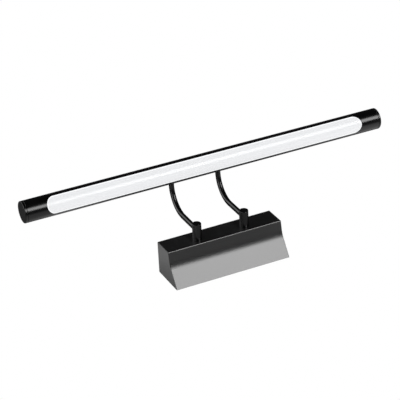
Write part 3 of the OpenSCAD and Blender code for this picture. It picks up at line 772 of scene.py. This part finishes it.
def arm_path():
    """Places along the arm as (y, z) with the direction it runs in, from the post to the axle."""
    bend_y = arm_high.y - ARM_R - ARM_BEND_R
    centre = Vector((bend_y, ARM_Z + ARM_BEND_R))
    path = [(Vector((y, ARM_Z)), 0.0) for y in between(arm_low.y, bend_y, 10)[:-1]]
    sweep = math.pi - WINDOW_ANGLE
    for a in between(0, sweep, 60):
        path.append((centre + ARM_BEND_R * Vector((math.sin(a), -math.cos(a))), a))
    last = path[-1][0]
    stop = (Vector((AXIS.y, AXIS.z)) - last).length - AXLE_R
    along = Vector((math.cos(sweep), math.sin(sweep)))
    path += [(last + along * d, sweep) for d in between(0, stop, 6)[1:]]
    return path


def arm(hand):
    """A bent tube along the arm's path."""
    shell = Shell()
    path = arm_path()

    def ring(where, angle, radius):
        out = Vector((0, math.sin(angle), -math.cos(angle)))
        centre = Vector((SIDES[hand] * SLOT_X, where.x, where.y))
        return [centre + radius * (math.cos(b) * Vector((1, 0, 0)) + math.sin(b) * out)
                for b in circle(ARM_SIDES)]

    for radius in (ARM_R, ARM_BORE_R):
        shell.rows([ring(where, angle, radius) for where, angle in path], closed=True)
    for where, angle in (path[0], path[-1]):
        shell.strip(ring(where, angle, ARM_R), ring(where, angle, ARM_BORE_R), closed=True)
    make_piece(f"swan_neck_{hand}", shell, "base", [black_metal], [f"arm_{hand}"])


lamp_tube()
diffuser()
for name in SIDES:
    end_cap(name)
    post(name)
    arm(name)
base_housing()


# ---------------------------------------------------------------- stage

FLOOR_HALF = 8.0         # metres
FLOOR_DROP = 0.5         # millimetres under the object
POOL = (0.08, -0.08, 0.0)      # middle of the pool of light on the floor
PATCH = (-0.12, 0.05, 0.0)     # a painted patch of light on the floor beside the box's left end
SOFTBOX, BACKLIGHT, STRIPLIGHT = 10.2, 2.0, 3.0      # radiance of each light
ROOM = 0.025             # radiance of the room round them
CAMERA_AZIMUTH = math.radians(24.82)
CAMERA_ELEVATION = math.radians(28.68)
CAMERA_ROLL = math.radians(-2.85)
CAMERA_DISTANCE = 2.115
CAMERA_LENS, SENSOR_WIDTH = 149.03, 36.0
AIM_OFFSET = Vector((-0.0123, 0.0111, 0.0082))     # what the camera aims at, from the middle of the CAD box


def ramp(tree, value, start, end, low, high):
    """A value turned into a smooth step from one level to another."""
    return add(tree, "ShaderNodeMapRange", {
        "Value": value, "From Min": start, "From Max": end, "To Min": low, "To Max": high},
        interpolation_type="SMOOTHSTEP").outputs[0]


def combine(tree, operation, *values):
    """One step of arithmetic."""
    return add(tree, "ShaderNodeMath", dict(enumerate(values)), operation=operation).outputs[0]


def combine_vectors(tree, operation, *values):
    """One step of vector arithmetic, with all its outputs."""
    return add(tree, "ShaderNodeVectorMath", dict(enumerate(values)), operation=operation).outputs


def plain_to_camera(tree, level):
    """A strength that is plain white to the camera and a level of its own to what the object reflects."""
    seen = add(tree, "ShaderNodeLightPath").outputs["Is Camera Ray"]
    return add(tree, "ShaderNodeMix", {"Factor": seen, "A": level, "B": 1.0}).outputs["Result"]


def floor():
    """A white floor. What the object gets from it is painted light: it fades away from a painted pool of
    light in front, and a painted shadow darkens it close to the box.
    """
    shell = Shell()
    reach = FLOOR_HALF / MM
    corners = ((-reach, -reach), (reach, -reach), (reach, reach), (-reach, reach))
    shell.face([(x, y, -FLOOR_DROP) for x, y in corners])
    made = new_object("floor", shell.mesh("floor"))
    material = bpy.data.materials.new("white_sweep")
    material.use_nodes = True
    tree = material.node_tree
    tree.nodes.remove(tree.nodes["Principled BSDF"])
    where = add(tree, "ShaderNodeTexCoord").outputs["Object"]
    x, y, _ = add(tree, "ShaderNodeSeparateXYZ", {0: where}).outputs
    # the floor's glow, as the object reflects it, is painted light: a painted pool of light, brighter to
    # the right and at the left, darker behind, and a painted patch of light beside the box's left end
    from_pool = combine_vectors(tree, "DISTANCE", where, POOL)["Value"]
    pool = ramp(tree, from_pool, 0.22, 0.66, 1.0, 0.1)
    rightward = ramp(tree, x, 0.15, 0.34, 0.34, 0.92)
    leftward = ramp(tree, x, -0.14, -0.03, 0.2, 0.0)
    behind = ramp(tree, y, 0.03, 0.11, 1.0, 0.05)
    level = combine(tree, "MULTIPLY", combine(tree, "ADD", rightward, leftward), behind)
    from_patch = combine_vectors(tree, "DISTANCE", where, PATCH)["Value"]
    level = combine(tree, "ADD", level, ramp(tree, from_patch, 0.04, 0.12, 0.3, 0.0))
    beyond = combine_vectors(tree, "ABSOLUTE", where)[0]
    beyond = combine_vectors(tree, "SUBTRACT", beyond, house_high.xyz * MM)[0]
    beyond = combine_vectors(tree, "MAXIMUM", beyond, (0, 0, 0))[0]
    from_box = combine_vectors(tree, "LENGTH", beyond)["Value"]
    # painted shadow: the floor's glow is dimmed close to the box, from 0.3 at its edge to full strength 90
    # mm away
    painted_contact_shadow = ramp(tree, from_box, 0.0, 0.09, 0.3, 1.0)
    fade = combine(tree, "MULTIPLY_ADD", combine(tree, "MULTIPLY", pool, level), painted_contact_shadow, 0.08)
    glow = add(tree, "ShaderNodeEmission", {"Strength": plain_to_camera(tree, fade)})
    tree.links.new(glow.outputs[0], tree.nodes["Material Output"].inputs["Surface"])
    made.data.materials.append(material)


def world():
    """A dark room with a wide softbox in front, a weak one behind and a strip light on the left.

    Each light is a level and the soft edges that bound it along the directions x, y and z.
    """
    made = bpy.data.worlds.new("studio")
    bpy.context.scene.world = made
    made.use_nodes = True
    tree = made.node_tree
    where = add(tree, "ShaderNodeTexCoord").outputs["Generated"]
    x, y, z = add(tree, "ShaderNodeSeparateXYZ", {0: where}).outputs
    lights = (
        (SOFTBOX, ((z, 0.33, 0.41, 0, 1), (z, 0.65, 0.79, 1, 0),
                   (x, 0.08, 0.38, 0, 1), (x, 0.38, 0.66, 1, 0), (y, -0.2, 0.0, 1, 0))),
        (BACKLIGHT, ((z, 0.15, 0.3, 0, 1), (z, 0.6, 0.8, 1, 0),
                     (x, -0.35, -0.05, 1, 0), (y, 0.05, 0.3, 0, 1))),
        (STRIPLIGHT, ((z, -0.1, 0.0, 0, 1), (z, 0.4, 0.6, 1, 0), (x, -0.88, -0.76, 1, 0))))
    total = ROOM
    for level, edges in lights:
        for edge in edges:
            level = combine(tree, "MULTIPLY", level, ramp(tree, *edge))
        total = combine(tree, "ADD", total, level)
    tree.links.new(plain_to_camera(tree, total), tree.nodes["Background"].inputs["Strength"])
    tree.nodes["Background"].inputs["Color"].default_value = (1, 1, 1, 1)


def camera():
    """A camera at the viewing angle, aimed near the middle of the light."""
    made = new_object("camera", bpy.data.cameras.new("camera"))
    made.data.lens, made.data.sensor_width = CAMERA_LENS, SENSOR_WIDTH
    ahead = Vector((math.sin(CAMERA_AZIMUTH) * math.cos(CAMERA_ELEVATION),
                    math.cos(CAMERA_AZIMUTH) * math.cos(CAMERA_ELEVATION), -math.sin(CAMERA_ELEVATION)))
    aim = (cad_low + cad_high) / 2 + AIM_OFFSET
    turn = ahead.to_track_quat("-Z", "Y") @ Matrix.Rotation(CAMERA_ROLL, 3, "Z").to_quaternion()
    made.matrix_world = Matrix.Translation(aim - ahead * CAMERA_DISTANCE) @ turn.to_matrix().to_4x4()
    bpy.context.scene.camera = made


floor()
world()
camera()
bpy.context.scene.view_settings.view_transform = "Standard"
